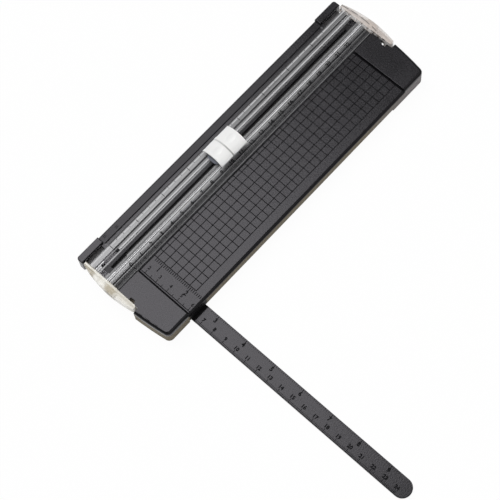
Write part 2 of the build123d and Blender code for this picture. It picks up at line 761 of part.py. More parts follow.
def cap_arch(half_width, crown_z, bottom_z, radius):
    """Section of the cap across the rail: straight sides under an arch about the cut line."""
    edge_z = crown_z - radius + math.sqrt(radius**2 - half_width**2)
    with BuildSketch() as section:
        with BuildLine():
            ThreePointArc((cut_y - half_width, edge_z), (cut_y, crown_z), (cut_y + half_width, edge_z))
            Polyline(
                (cut_y + half_width, edge_z),
                (cut_y + half_width, bottom_z),
                (cut_y - half_width, bottom_z),
                (cut_y - half_width, edge_z),
            )
        make_face()
    return section.sketch


with BuildPart() as press_cap:
    with BuildSketch(Plane.YZ.offset(slider_x)):
        add(cap_arch(press_cap_width / 2, press_cap_crown_z, press_cap_rim_z, crown_radius))
    extrude(amount=press_cap_length / 2, both=True)
    # two shallow finger dishes
    dish_z = press_cap_crown_z + dish_radius - dish_depth
    for side in (-1, 1):
        with Locations((slider_x + side * dish_offset, cut_y, dish_z)):
            Sphere(dish_radius, rotation=(0, 90, 0), mode=Mode.SUBTRACT)
    # finger ridge across the middle
    with BuildSketch(Plane.YZ.offset(slider_x)):
        add(cap_arch(press_cap_width / 2, press_cap_crown_z + ridge_rise, press_cap_rim_z, crown_radius))
    extrude(amount=ridge_width / 2, both=True)
    fillet(press_cap.edges().filter_by(Axis.X).group_by(Axis.Z)[-1], ridge_edge_radius)
    # hollow, open at both ends over the carriage
    with BuildSketch(Plane.YZ.offset(slider_x)):
        add(
            cap_arch(
                press_cap_width / 2 - press_cap_wall,
                inner_crown_z,
                press_cap_rim_z,
                crown_radius - press_cap_wall,
            )
        )
    extrude(amount=far, both=True, mode=Mode.SUBTRACT)
    # flat seats under the arch
    with Locations((slider_x, cut_y, seat_z)):
        Box(holder_length, holder_thickness, seat_drop, align=MIN_Z)
    with Locations(*[(x, y, seat_z) for x, y in post_places]):
        Cylinder(seat_radius, seat_drop, align=MIN_Z)
    # guide posts
    with Locations(*[(x, y, saddle_z) for x, y in post_places]):
        Cylinder(post_radius, seat_z - saddle_z, align=MIN_Z)
        Cylinder(post_screw_radius, post_screw_length, align=MIN_Z, mode=Mode.SUBTRACT)
press_cap.part.label = "press_cap"

with BuildPart() as cap_screws:
    with Locations(*[(x, y, saddle_z) for x, y in post_places]):
        Cylinder(post_screw_head_radius, post_screw_head_height, align=MAX_Z)
        Cylinder(post_screw_radius, post_screw_length, align=MIN_Z)
cap_screws.part.label = "cap_screws"

# ---------------------------------------------------------------- blade and its holder
with BuildPart() as blade_holder:
    with Locations((slider_x, cut_y, holder_bottom_z)):
        Box(holder_length, holder_thickness, seat_z - holder_bottom_z, align=MIN_Z)
        Box(blade_length, blade_thickness, blade_top_z - holder_bottom_z, align=MIN_Z, mode=Mode.SUBTRACT)
    with Locations(Location((slider_x, cut_y, rivet_z), (90, 0, 0))):
        Cylinder(rivet_radius, far, mode=Mode.SUBTRACT)
blade_holder.part.label = "blade_holder"

with BuildPart() as trim_blade:
    with BuildSketch(Plane.XZ.offset(-cut_y)):
        with BuildLine():
            Polyline(
                (slider_x - blade_length / 2, blade_top_z),
                (slider_x + blade_length / 2, blade_top_z),
                (slider_x + blade_length / 2, holder_bottom_z),
                (slider_x, blade_tip_z),
                (slider_x - blade_length / 2, holder_bottom_z),
                close=True,
            )
        make_face()
    extrude(amount=blade_thickness / 2, both=True)
    with Locations(Location((slider_x, cut_y, rivet_z), (90, 0, 0))):
        Cylinder(rivet_radius, far, mode=Mode.SUBTRACT)
trim_blade.part.label = "trim_blade"

with BuildPart() as blade_rivet:
    with Locations(Location((slider_x, cut_y, rivet_z), (90, 0, 0))):
        Cylinder(rivet_radius, holder_thickness)
blade_rivet.part.label = "blade_rivet"

# ---------------------------------------------------------------- return springs
spring_bottom = saddle_top + spring_wire_radius
spring_top = seat_z - spring_wire_radius
springs = {}
for side, name in ((-1, "return_spring_left"), (1, "return_spring_right")):
    spring_x = slider_x + side * post_offset
    with BuildPart() as spring:
        with BuildLine():
            coil = Helix(
                pitch=(spring_top - spring_bottom) / spring_turns,
                height=spring_top - spring_bottom,
                radius=spring_radius,
                center=(spring_x, cut_y, spring_bottom),
            )
        with BuildSketch(Plane(origin=coil @ 0, z_dir=coil % 0)):
            Circle(spring_wire_radius)
        sweep(path=coil, is_frenet=True)
    spring.part.label = name
    springs[name] = spring.part

# ---------------------------------------------------------------- ruler
with BuildPart() as swing_ruler:
    with BuildSketch(Plane.XY.offset(ruler_lift)):
        ruler_middle_y = ruler_y + ruler_width / 2 - (ruler_reach + ruler_width / 2) / 2
        with Locations((ruler_x, ruler_middle_y)):
            SlotOverall(ruler_reach + ruler_width / 2, ruler_width, rotation=90)
    extrude(amount=ruler_thickness)
    chamfer(swing_ruler.faces().sort_by(Axis.Z)[-1].edges(), ruler_edge_chamfer)
    with Locations((ruler_x, ruler_y, ruler_lift)):
        Cylinder(pivot_radius + pivot_clearance + bush_wall, far, mode=Mode.SUBTRACT)
        Cylinder(
            bush_flange_radius,
            bush_flange_height + pivot_head_height,
            align=MIN_Z,
            mode=Mode.SUBTRACT,
        )
swing_ruler.part.label = "swing_ruler"

bush_z = ruler_lift + pivot_head_height
with BuildPart() as ruler_bush:
    with Locations((ruler_x, ruler_y, bush_z)):
        Cylinder(bush_flange_radius, bush_flange_height, align=MIN_Z)
        Cylinder(pivot_radius + pivot_clearance + bush_wall, ruler_top - bush_z, align=MIN_Z)
        Cylinder(pivot_radius + pivot_clearance, far, mode=Mode.SUBTRACT)
ruler_bush.part.label = "ruler_bush"

with BuildPart() as ruler_pivot_screw:
    with Locations((ruler_x, ruler_y, bush_z - washer_gap)):
        Cylinder(pivot_head_radius, pivot_head_height - washer_gap, align=MAX_Z)
        Cylinder(pivot_radius, ceiling_top - bush_z + washer_gap, align=MIN_Z)
    with Locations((ruler_x, ruler_y, ceiling_top)):
        Cylinder(pivot_thread_radius, pivot_thread_length, align=MIN_Z)
ruler_pivot_screw.part.label = "ruler_pivot_screw"

with BuildPart() as ruler_washer:
    with Locations((ruler_x, ruler_y, bay_ceiling)):
        Cylinder(washer_radius, bay_clearance - washer_gap, align=MAX_Z)
        Cylinder(pivot_radius + cover_screw_fit, far, mode=Mode.SUBTRACT)
ruler_washer.part.label = "ruler_washer"

# ---------------------------------------------------------------- write the parts
all_parts = [
    base_shell.part,
    bottom_cover.part,
    cover_screws.part,
    cutting_strip.part,
    foot_strip_centre.part,
    *end_feet.values(),
    *hinge_pins.values(),
    clear_rail.part,
    right_cap.part,
    left_cap.part,
    end_cap_screws.part,
    slider_carriage.part,
    press_cap.part,
    cap_screws.part,
    blade_holder.part,
    trim_blade.part,
    blade_rivet.part,
    *springs.values(),
    swing_ruler.part,
    ruler_bush.part,
    ruler_pivot_screw.part,
    ruler_washer.part,
]
os.makedirs("parts", exist_ok=True)
for piece in all_parts:
    export_step(piece, f"parts/{piece.label}.step")
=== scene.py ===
"""Looks of a portable sliding paper trimmer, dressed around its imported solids.

Everything is in metres, in the solids' own frame: +X along the board, +Y to the hinged back edge and +Z up.
Each sub-assembly is a class that holds its sizes, builds its own marks and meshes and gives its pieces their
finish.
"""

from __future__ import annotations

import logging
import math
from dataclasses import dataclass, field
from enum import Enum
from typing import Iterable, Union

import bpy
from mathutils import Matrix, Vector


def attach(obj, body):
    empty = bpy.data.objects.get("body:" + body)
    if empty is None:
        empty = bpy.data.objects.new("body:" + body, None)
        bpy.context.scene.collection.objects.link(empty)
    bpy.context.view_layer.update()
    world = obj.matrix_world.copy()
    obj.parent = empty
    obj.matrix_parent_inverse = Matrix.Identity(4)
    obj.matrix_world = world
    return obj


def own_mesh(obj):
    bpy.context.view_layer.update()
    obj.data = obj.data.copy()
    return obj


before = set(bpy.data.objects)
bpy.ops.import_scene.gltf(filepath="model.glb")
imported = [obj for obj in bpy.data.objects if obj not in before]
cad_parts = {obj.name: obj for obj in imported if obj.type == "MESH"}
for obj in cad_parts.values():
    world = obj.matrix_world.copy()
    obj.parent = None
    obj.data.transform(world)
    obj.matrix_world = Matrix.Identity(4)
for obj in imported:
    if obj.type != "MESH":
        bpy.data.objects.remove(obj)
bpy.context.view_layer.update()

log = logging.getLogger("trimmer")
MM = 0.001
Colour = tuple[float, float, float]
Span = tuple[float, float]
Number = Union[float, "Value"]


# ---------------------------------------------------------------- shader maths
class Value:
    """A number that varies over a surface, so that a Python expression on it adds Math nodes."""

    def __init__(self, bench: "NodeBench", socket: bpy.types.NodeSocket) -> None:
        """Wrap an output socket of a node on a bench."""
        self.bench = bench
        self.socket = socket

    def _math(self, operation: str, first: Number, second: Number = 0.0) -> "Value":
        """Add one Math node on two numbers or values."""
        return self.bench.value("ShaderNodeMath", {"operation": operation}, {0: first, 1: second})

    def __add__(self, other: Number) -> "Value":
        """Sum of this value and another."""
        return self._math("ADD", self, other)

    __radd__ = __add__

    def __sub__(self, other: Number) -> "Value":
        """This value less another."""
        return self._math("SUBTRACT", self, other)

    def __rsub__(self, other: Number) -> "Value":
        """Another value less this one."""
        return self._math("SUBTRACT", other, self)

    def __mul__(self, other: Number) -> "Value":
        """Product of this value and another."""
        return self._math("MULTIPLY", self, other)

    __rmul__ = __mul__

    def __truediv__(self, other: Number) -> "Value":
        """This value divided by another."""
        return self._math("DIVIDE", self, other)

    def __abs__(self) -> "Value":
        """Size of this value without its sign."""
        return self._math("ABSOLUTE", self)

    def most(self, other: Number) -> "Value":
        """The larger of this value and another."""
        return self._math("MAXIMUM", self, other)

    def least(self, other: Number) -> "Value":
        """The smaller of this value and another."""
        return self._math("MINIMUM", self, other)

    def rise(self, start: float, end: float) -> "Value":
        """A smooth step of this value.

        Args:
            start: Where the step is still 0.
            end: Where the step has reached 1.

        Returns:
            A value from 0 to 1.
        """
        settings = {"interpolation_type": "SMOOTHSTEP"}
        sockets = {"Value": self, "From Min": start, "From Max": end, "To Min": 0.0, "To Max": 1.0}
        return self.bench.value("ShaderNodeMapRange", settings, sockets)

    def fall(self, start: float, end: float) -> "Value":
        """A smooth step of this value from 1 down to 0."""
        return 1.0 - self.rise(start, end)

    def near(self, place: float, half_width: float, blur: float) -> "Value":
        """1 within half a width of a place and 0 away from it, with a soft edge of the given blur."""
        return abs(self - place).fall(half_width, half_width + blur)

    def between(self, low: float, high: float, blur: float) -> "Value":
        """1 from low to high and 0 outside, with soft edges of the given width."""
        return self.near((low + high) / 2, (high - low) / 2, blur)


class NodeBench:
    """A node tree while it is put together."""

    def __init__(self, tree: bpy.types.NodeTree) -> None:
        """Take over a node tree and empty it."""
        self.tree = tree
        self.tree.nodes.clear()

    def node(self, kind: str, settings: dict | None = None, sockets: dict | None = None) -> bpy.types.Node:
        """Add any node.

        Args:
            kind: The node's type.
            settings: Its own settings, which are set first.
            sockets: Values or links of its input sockets, by name or number.

        Returns:
            The new node.
        """
        made = self.tree.nodes.new(kind)
        for name, setting in (settings or {}).items():
            setattr(made, name, setting)
        for name, value in (sockets or {}).items():
            self.set(made, name, value)
        return made

    def set(self, node: bpy.types.Node, name: str | int, value: object) -> None:
        """Give an input socket a constant or a link.

        Args:
            node: The node that has the socket.
            name: The socket's name or number.
            value: A number or colour, or the value or output socket to link from.
        """
        socket = node.inputs[name]
        if isinstance(value, Value):
            self.tree.links.new(value.socket, socket)
        elif isinstance(value, bpy.types.NodeSocket):
            self.tree.links.new(value, socket)
        elif isinstance(value, tuple) and len(value) == 3 and socket.type == "RGBA":
            socket.default_value = (*value, 1.0)
        else:
            socket.default_value = value

    def value(self, kind: str, settings: dict, sockets: dict) -> Value:
        """Add a node and wrap its first output."""
        return Value(self, self.node(kind, settings, sockets).outputs[0])

    def split(self, vector: bpy.types.NodeSocket) -> tuple[Value, Value, Value]:
        """X, Y and Z of a vector."""
        parts = self.node("ShaderNodeSeparateXYZ", {}, {0: vector})
        return tuple(Value(self, parts.outputs[name]) for name in "XYZ")

    def rays(self, *kinds: str) -> Value:
        """Tell kinds of ray apart.

        Args:
            kinds: Names of kinds of ray, such as Camera or Glossy.

        Returns:
            1 for the named kinds and 0 for others.
        """
        path = self.node("ShaderNodeLightPath").outputs
        found = [Value(self, path[f"Is {kind} Ray"]) for kind in kinds]
        seen = found[0]
        for other in found[1:]:
            seen = seen.most(other)
        return seen


class Paint(NodeBench):
    """A node material with a Principled shader as its surface."""

    def __init__(self, name: str) -> None:
        """Make a material with only its shader.

        Args:
            name: The material's name.
        """
        self.material = bpy.data.materials.new(name)
        self.material.use_nodes = True
        super().__init__(self.material.node_tree)
        self.surface = self.node("ShaderNodeBsdfPrincipled")
        self.output = self.node("ShaderNodeOutputMaterial", {}, {"Surface": self.surface.outputs[0]})

    def linked(self, name: str) -> bpy.types.NodeSocket:
        """What feeds one of the shader's sockets."""
        return self.surface.inputs[name].links[0].from_socket

    def place(self) -> bpy.types.NodeSocket:
        """The point of the surface in the solids' frame."""
        return self.node("ShaderNodeTexCoord").outputs["Object"]

    def axes(self) -> tuple[Value, Value, Value]:
        """X, Y and Z of the surface in the solids' frame."""
        return self.split(self.place())

    def facing(self) -> Value:
        """How far the surface faces upwards, from -1 to 1."""
        return self.split(self.node("ShaderNodeNewGeometry").outputs["Normal"])[2]

    def noise(self, grain: float, detail: float = 2.0, stretch: Colour = (1, 1, 1)) -> Value:
        """Soft random variation.

        Args:
            grain: The size of its features in metres.
            detail: How many finer layers it has.
            stretch: A factor on the pattern's frequency along each axis.

        Returns:
            A value around 0.5.
        """
        mapped = self.node("ShaderNodeMapping", {}, {"Vector": self.place(), "Scale": stretch})
        sockets = {"Vector": mapped.outputs[0], "Scale": 1.0 / grain, "Detail": detail}
        return self.value("ShaderNodeTexNoise", {}, sockets)

    def blend(self, share: Number, first: object, second: object) -> bpy.types.NodeSocket:
        """Mix two colours.

        Args:
            share: How much of the second colour shows.
            first: The colour or colour socket at 0.
            second: The colour or colour socket at 1.

        Returns:
            The mixed colour.
        """
        mix = self.node("ShaderNodeMix", {"data_type": "RGBA"})
        self.set(mix, 0, share)
        self.set(mix, 6, first)
        self.set(mix, 7, second)
        return mix.outputs[2]

    def bump(self, height: Value, strength: float, depth: float) -> None:
        """Raise the surface by a height, through a Bump node that feeds the shader's Normal."""
        sockets = {"Strength": strength, "Distance": depth, "Height": height}
        self.set(self.surface, "Normal", self.node("ShaderNodeBump", {}, sockets).outputs[0])

    def dress(self, **sockets: object) -> bpy.types.Material:
        """Set the shader's sockets.

        Args:
            sockets: Values or links by the sockets' names, with underscores for their spaces.

        Returns:
            The material.
        """
        for name, value in sockets.items():
            self.set(self.surface, name.replace("_", " "), value)
        return self.material


# ---------------------------------------------------------------- finishes
@dataclass(frozen=True)
class MouldedBlack:
    """Satin black moulded plastic with a fine spark-eroded texture, and painted shade on its rounded edges,
    which are also polished smoother.
    """

    name: str
    base: Colour = (0.0056, 0.0055, 0.0062)
    paler_by: float = 2.6
    rough: float = 0.19
    rough_spread: float = 0.06
    grain: float = 0.9 * MM
    grain_depth: float = 0.1 * MM
    cloud_size: float = 22 * MM
    sheen: float = 0.31
    sheen_tint: Colour = (0.97, 0.94, 1.0)
    edge_base: Colour = (0.0012, 0.0012, 0.0015)
    edge_facing: Span = (0.35, 0.955)
    edge_blur: float = 0.03

    def paint(self) -> Paint:
        """Make the paint with its texture and the painted shade on its edges.

        Returns:
            The paint, to which the finish of one piece adds its own places.
        """
        paint = Paint(self.name)
        fine = paint.noise(self.grain)
        cloud = paint.noise(self.cloud_size)
        paler = tuple(channel * self.paler_by for channel in self.base)
        tint = paint.blend((fine * 0.6 + cloud * 0.4).rise(0.35, 0.65), self.base, paler)
        # Painted shade: the rounded edges, between level and upright, get a darker colour.
        edge = paint.facing().between(*self.edge_facing, self.edge_blur)
        roughness = (cloud + fine) * self.rough_spread + (self.rough - self.rough_spread)
        paint.bump(fine * (1.0 - edge), 0.35, self.grain_depth)
        paint.dress(
            Base_Color=paint.blend(edge, tint, self.edge_base),
            Roughness=roughness * (1.0 - edge * 0.4),
            IOR=1.5,
            Specular_IOR_Level=self.sheen,
            Specular_Tint=self.sheen_tint,
        )
        return paint

    def material(self) -> bpy.types.Material:
        """The finished material."""
        return self.paint().material


@dataclass(frozen=True)
class RulerBlack(MouldedBlack):
    """Moulded black of the ruler, with a painted shadow, dark and dull, where it passes under the board's
    edge.
    """

    rub_y: float = -43.4 * MM
    rub_half_width: float = 0.9 * MM
    rub_blur: float = 1.2 * MM
    rub_rough: float = 0.9

    def material(self) -> bpy.types.Material:
        """Make the material.

        Returns:
            The finished material.
        """
        paint = self.paint()
        _, y, _ = paint.axes()
        # Painted shadow where the ruler passes under the board's edge: darker and rougher in a band.
        ruler_shadow = y.near(self.rub_y, self.rub_half_width, self.rub_blur)
        rough = Value(paint, paint.linked("Roughness"))
        tint = paint.blend(ruler_shadow, paint.linked("Base Color"), self.edge_base)
        return paint.dress(Base_Color=tint, Roughness=rough.most(ruler_shadow * self.rub_rough))


@dataclass(frozen=True)
class BoardBlack(MouldedBlack):
    """Moulded black of the board: painted shade in the grooves, along the fences and in the ruler's bay,
    painted light in the channel and pockets, a dull bed under the rail, and a painted reflection of the
    floor that makes the outer walls warm grey.
    """

    bed_z: float = 12 * MM
    groove_low: float = 0.4 * MM
    groove_high: float = 0.1 * MM
    groove_blur: float = 0.05 * MM
    soot_tint: Colour = (0.001, 0.001, 0.0015)
    soot_blur: float = 0.15 * MM
    soot_lines: tuple[Span, ...] = (
        (-109.2 * MM, 0.5 * MM),
        (-107.7 * MM, 0.22 * MM),
        (109.6 * MM, 0.5 * MM),
    )
    cover_front: float = 4.6 * MM
    cover_back: float = 33.5 * MM
    cover_half_length: float = 109 * MM
    end_front: float = 12 * MM
    channel_depth: float = 1 * MM
    channel_tint: Colour = (0.02, 0.02, 0.021)
    pocket_front: float = 28 * MM
    pocket_depth: float = 0.2 * MM
    pocket_tint: Colour = (0.16, 0.157, 0.165)
    bar_front: float = 36.4 * MM
    bar_half_length: float = 110.5 * MM
    bar_rough: float = 0.33
    bar_fade_x: Span = (40 * MM, 110 * MM)
    bar_fade: float = 0.45
    wall_top: float = 9.6 * MM
    wall_rough: float = 0.6
    wall_tint: Colour = (0.175, 0.146, 0.094)
    far_wall_tint: Colour = (0.225, 0.205, 0.205)
    greyer_x: Span = (60 * MM, 125 * MM)
    greyer_y: Span = (-20 * MM, 35 * MM)
    bay_x: float = -101.7 * MM
    bay_half_width: float = 7.5 * MM
    bay_blur: float = 1.5 * MM
    bay_back: float = -40 * MM

    def material(self) -> bpy.types.Material:
        """Make the material.

        Returns:
            The finished material.
        """
        paint = self.paint()
        x, y, z = paint.axes()
        facing = paint.facing()
        up = facing.rise(0.85, 0.95)

        # Painted shade in the grid's grooves and along the foot of the fences.
        line_shade = z.between(self.bed_z - self.groove_low, self.bed_z - self.groove_high, self.groove_blur) * up
        open_bed = z.near(self.bed_z, self.groove_high, self.groove_blur) * up
        open_bed = open_bed * y.fall(self.cover_front, self.cover_front + 1 * MM)
        for place, half_width in self.soot_lines:
            line_shade = line_shade.most(x.near(place, half_width, self.soot_blur) * open_bed)

        # The bed under the rail, and what is let into the board around it, whose channel and pocket floors
        # get paler tints as painted light.
        end = abs(x).rise(self.cover_half_length, self.cover_half_length + 1.5 * MM)
        under_rail = y.between(self.cover_front, self.cover_back, 0.3 * MM) * up
        covered = under_rail * (1.0 - end * y.rise(self.end_front - 1 * MM, self.end_front + 1 * MM))
        channel_z = self.bed_z - self.channel_depth
        channel = y.rise(self.cover_back, self.cover_back + 0.4 * MM) * up
        channel = channel * z.fall(channel_z - 0.1 * MM, channel_z + 0.1 * MM)
        pocket_z = self.bed_z - self.pocket_depth
        pocket = end * y.between(self.pocket_front, self.bar_front + 1 * MM, 0.5 * MM)
        pocket = pocket * z.fall(pocket_z - 0.1 * MM, pocket_z + 0.1 * MM)

        # The back bar, duller at its left than at its right.
        bar = y.rise(self.bar_front, self.bar_front + 0.2 * MM)
        bar = bar * abs(x).fall(self.bar_half_length, self.bar_half_length + 0.2 * MM)
        bar = bar * (1.0 - x.rise(*self.bar_fade_x) * self.bar_fade)

        # The outer walls: a painted reflection of the floor, khaki at the front left and greyer round the
        # right, and painted shade, black, in the ruler's bay.
        inside = y.between(self.cover_back - 2 * MM, self.bar_front + 5 * MM, 1 * MM)
        wall = facing.fall(0.1, 0.4) * z.fall(self.wall_top, self.wall_top + 1 * MM) * (1.0 - inside)
        greyer = x.rise(*self.greyer_x).most(y.rise(*self.greyer_y))
        bay = x.near(self.bay_x, self.bay_half_width, self.bay_blur)
        bay = bay * y.fall(self.bay_back - 1 * MM, self.bay_back)
        wall_tint = paint.blend(greyer, self.wall_tint, self.far_wall_tint)
        wall_tint = paint.blend(bay, wall_tint, self.edge_base)

        # Painted light: paler floors in the channel and the pockets.
        tint = paint.blend(channel, paint.linked("Base Color"), self.channel_tint)
        tint = paint.blend(pocket, tint, self.pocket_tint)
        tint = paint.blend(wall, tint, wall_tint)
        rough = Value(paint, paint.linked("Roughness")).most(line_shade).most(covered)
        rough = rough.most(wall * self.wall_rough).most(bar * self.bar_rough)
        return paint.dress(Base_Color=paint.blend(line_shade, tint, self.soot_tint), Roughness=rough)


@dataclass(frozen=True)
class Glow:
    """A painted highlight on a stretch of the rail's section where the clear plastic gathers light, fading
    to the right as the light falls off.
    """

    y: float
    half_width: float
    blur: float
    film: float
    tint: float
    fade: float = 0.0
    upright: bool = False


@dataclass(frozen=True)
class ClearPlastic:
    """Clear acrylic: a faint glossy film, and painted highlights as pale lines where its edges gather light.
    """

    name: str
    glows: tuple[Glow, ...] = ()
    film: float = 0.03
    index: float = 1.6
    rough: float = 0.3
    pale: Colour = (0.98, 0.98, 1.0)
    floor_z: float = 14 * MM
    clear_from_x: Span = (-70 * MM, 75 * MM)
    inner_y: float = 23.95 * MM
    inner_half_width: float = 0.25 * MM
    inner_film: float = 0.5

    def material(self) -> bpy.types.Material:
        """Make the material.

        Returns:
            The finished material.
        """
        paint = Paint(self.name)
        x, y, z = paint.axes()
        facing = paint.facing()
        above = z.rise(self.floor_z - 0.1 * MM, self.floor_z + 0.1 * MM)
        level = facing.rise(0.6, 0.8)
        up = level * above
        upright = abs(facing).fall(0.2, 0.5)
        streak = paint.noise(1.2 * MM, 1.0, (0.03, 1.0, 1.0)).rise(0.3, 0.7)
        # Painted highlights fade towards the right, where the light falls off; clear holds that fade.
        clear = x.rise(*self.clear_from_x)
        # A painted highlight on the lower floor inside the rail, beside the slot.
        inner = y.near(self.inner_y, self.inner_half_width, 0.2 * MM) * level * (1.0 - above)
        film = ((streak * 0.02 + self.film) * above).most(inner * self.inner_film)
        tint = (streak * 0.1 + 0.1).most(inner * (1.0 - clear * 0.8) * 0.5)
        for glow in self.glows:
            band = y.near(glow.y, glow.half_width, glow.blur) * (upright if glow.upright else up)
            film = film.most(band * (streak * 0.12 + 0.94) * glow.film)
            tint = tint.most(band * (1.0 - clear * glow.fade) * glow.tint)
        return paint.dress(
            Base_Color=paint.blend(tint, (0.0, 0.0, 0.0), self.pale),
            Roughness=streak * 0.04 + self.rough,
            Alpha=film.least(1.0),
            IOR=self.index,
        )


@dataclass(frozen=True)
class WarmClear:
    """Slightly yellowed clear plastic of the end caps: milky where thick, bright at its inner rim."""

    name: str
    index: float = 1.45
    cream: Colour = (0.84, 0.82, 0.75)
    beige: Colour = (0.38, 0.33, 0.235)
    rosy: Colour = (0.56, 0.49, 0.46)
    smoky: Colour = (0.10, 0.095, 0.09)
    bar_reach: float = 129.2 * MM
    thick_y: float = 8.5 * MM
    grey_y: float = 29 * MM
    low_y: Span = (9 * MM, 17 * MM)
    crown_x: float = 132.2 * MM
    crown_y: float = 17 * MM
    crown_length: float = 20 * MM
    crown_rise: float = 2.2 * MM

    def material(self) -> bpy.types.Material:
        """Make the material.

        Returns:
            The finished material.
        """
        paint = Paint(self.name)
        x, y, _ = paint.axes()
        reach = abs(x)
        right = x.rise(-1 * MM, 1 * MM)
        cloud = paint.noise(5 * MM, 2.0, (1.0, 0.6, 0.5))
        streak = paint.noise(1.4 * MM, 2.0, (1.0, 0.3, 1.0))
        up = paint.facing().rise(0.4, 0.9)

        # Where the cap is thick, in shade, or seen over the board.
        rim = reach.near(self.bar_reach + 0.8 * MM, 0.4 * MM, 0.5 * MM)
        outer = reach.rise(self.bar_reach + 3 * MM, self.bar_reach + 5 * MM)
        thick = y.near(self.thick_y, 2.5 * MM, 4 * MM) * (1.0 - rim) * cloud.rise(0.3, 0.5)
        grey = y.near(self.grey_y, 3 * MM, 4 * MM) * (1.0 - rim) * (0.9 - right * 0.6)
        shade = (thick + grey + streak.rise(0.5, 0.7) * 0.4).least(1.0)
        low = y.fall(*self.low_y) * (streak * 0.3 + right * 0.35 + 0.2)
        over_board = reach.fall(self.bar_reach - 0.3 * MM, self.bar_reach)

        # The moulding seam, which follows the crown of the cap.
        bent = (y - self.crown_y) / self.crown_length
        seam = (reach - self.crown_x + bent * bent * self.crown_rise).near(0.0, 0.2 * MM, 0.3 * MM)
        marks = seam * streak.rise(0.42, 0.5) * (right * 0.85 + 0.1)

        tint = paint.blend(right * 0.8, paint.blend(shade.most(low), self.cream, self.beige), self.rosy)
        alpha = up * 0.12 + thick * 0.4 + rim * 0.2 + marks * 0.4 - outer * 0.2 + 0.48
        return paint.dress(
            Base_Color=paint.blend(marks, tint, self.smoky),
            Roughness=cloud * 0.1 + 0.2,
            Alpha=alpha * (1.0 - over_board * 0.98),
            IOR=self.index,
        )


@dataclass(frozen=True)
class PressWhite:
    """Smooth white plastic of the press cap, with painted shade in the crease beside its ridge and painted
    light on its front slope.
    """

    name: str
    ridge_x: float
    tint: Colour = (0.76, 0.76, 0.755)
    front_tint: Colour = (0.99, 0.99, 0.98)
    crease_tint: Colour = (0.42, 0.42, 0.415)
    crease_from_ridge: float = 0.9 * MM
    crease_fade_y: Span = (16 * MM, 28 * MM)
    front_y: Span = (12 * MM, 26 * MM)

    def material(self) -> bpy.types.Material:
        """Make the material.

        Returns:
            The finished material.
        """
        paint = Paint(self.name)
        x, y, _ = paint.axes()
        cloud = paint.noise(7 * MM, 1.0)
        darker = tuple(channel * 0.985 for channel in self.tint)
        # Painted light: the front slope is made whiter than the rest of the cap.
        front = y.fall(*self.front_y)
        # Painted shade in the crease beside the ridge.
        crease = x.near(self.ridge_x - self.crease_from_ridge, 0.12 * MM, 0.7 * MM)
        crease = crease * (0.95 - y.rise(*self.crease_fade_y) * 0.5)
        tint = paint.blend(front, paint.blend(cloud.rise(0.35, 0.65), self.tint, darker), self.front_tint)
        tint = paint.blend(crease, tint, self.crease_tint)
        paint.bump(paint.noise(0.3 * MM, 1.0), 0.1, 0.01 * MM)
        return paint.dress(Base_Color=tint, Roughness=cloud * 0.03 + 0.5, IOR=1.4)


@dataclass(frozen=True)
class CuttingMat:
    """Black mat under the cut, with painted shade along its middle under the rail's slot and painted light
    that makes it greyer towards the left.
    """

    name: str
    cut_y: float
    half_length: float = 119.5 * MM
    rubbed: Colour = (0.064, 0.063, 0.067)
    fresh: Colour = (0.022, 0.0215, 0.023)
    dusty: Colour = (0.02, 0.02, 0.021)
    score_tint: Colour = (0.001, 0.001, 0.001)
    fresh_from_x: Span = (-60 * MM, 90 * MM)
    score_from_cut: float = 0.75 * MM
    score_half_width: float = 0.95 * MM

    def material(self) -> bpy.types.Material:
        """Make the material.

        Returns:
            The finished material.
        """
        paint = Paint(self.name)
        x, y, _ = paint.axes()
        fine = paint.noise(1.2 * MM)
        # Painted shade along the line under the rail's slot.
        slot_shade = y.near(self.cut_y - self.score_from_cut, self.score_half_width, 0.15 * MM)
        slot_shade = slot_shade * abs(x).fall(self.half_length, self.half_length + 0.3 * MM)
        # Painted light: the mat is greyer towards the left, where the light is brighter.
        rubbed = paint.blend(x.rise(*self.fresh_from_x), self.rubbed, self.fresh)
        tint = paint.blend(fine.rise(0.3, 0.7) * 0.15, rubbed, self.dusty)
        paint.bump(fine, 0.1, 0.02 * MM)
        tint = paint.blend(slot_shade, tint, self.score_tint)
        return paint.dress(Base_Color=tint, Roughness=0.7, Specular_IOR_Level=0.1)


@dataclass(frozen=True)
class NaturalNylon:
    """Moulded nylon in a bluish grey, partly its own colour and partly painted shade for the hollow under
    the press cap, with a soft sheen.
    """

    name: str
    tint: Colour = (0.20, 0.21, 0.25)
    rough: float = 0.3
    alpha: float = 0.9

    def material(self) -> bpy.types.Material:
        """Make the material.

        Returns:
            The finished material.
        """
        paint = Paint(self.name)
        # Painted shade: the nylon's tint is darkened to stand for the shade under the press cap.
        cloud = paint.noise(5 * MM, 3.0)
        darker = tuple(channel * 0.985 for channel in self.tint)
        paint.bump(paint.noise(0.25 * MM, 1.0), 0.15, 0.01 * MM)
        return paint.dress(
            Base_Color=paint.blend(cloud.rise(0.3, 0.7), self.tint, darker),
            Roughness=cloud * 0.08 + self.rough,
            Alpha=cloud * 0.1 + (self.alpha - 0.05),
            IOR=1.4,
        )


@dataclass(frozen=True)
class TurnedSteel:
    """Plain steel with fine tool marks."""

    name: str
    tint: Colour = (0.56, 0.56, 0.57)
    rough: float = 0.3
    marks: Colour = (1.0, 1.0, 6.0)

    def material(self) -> bpy.types.Material:
        """Make the material.

        Returns:
            The finished material.
        """
        paint = Paint(self.name)
        line = paint.noise(0.3 * MM, 2.0, self.marks)
        paler = tuple(channel * 1.15 for channel in self.tint)
        paint.bump(line, 0.2, 0.01 * MM)
        return paint.dress(
            Base_Color=paint.blend(line, self.tint, paler),
            Roughness=line * 0.15 + (self.rough - 0.08),
            Metallic=1.0,
        )


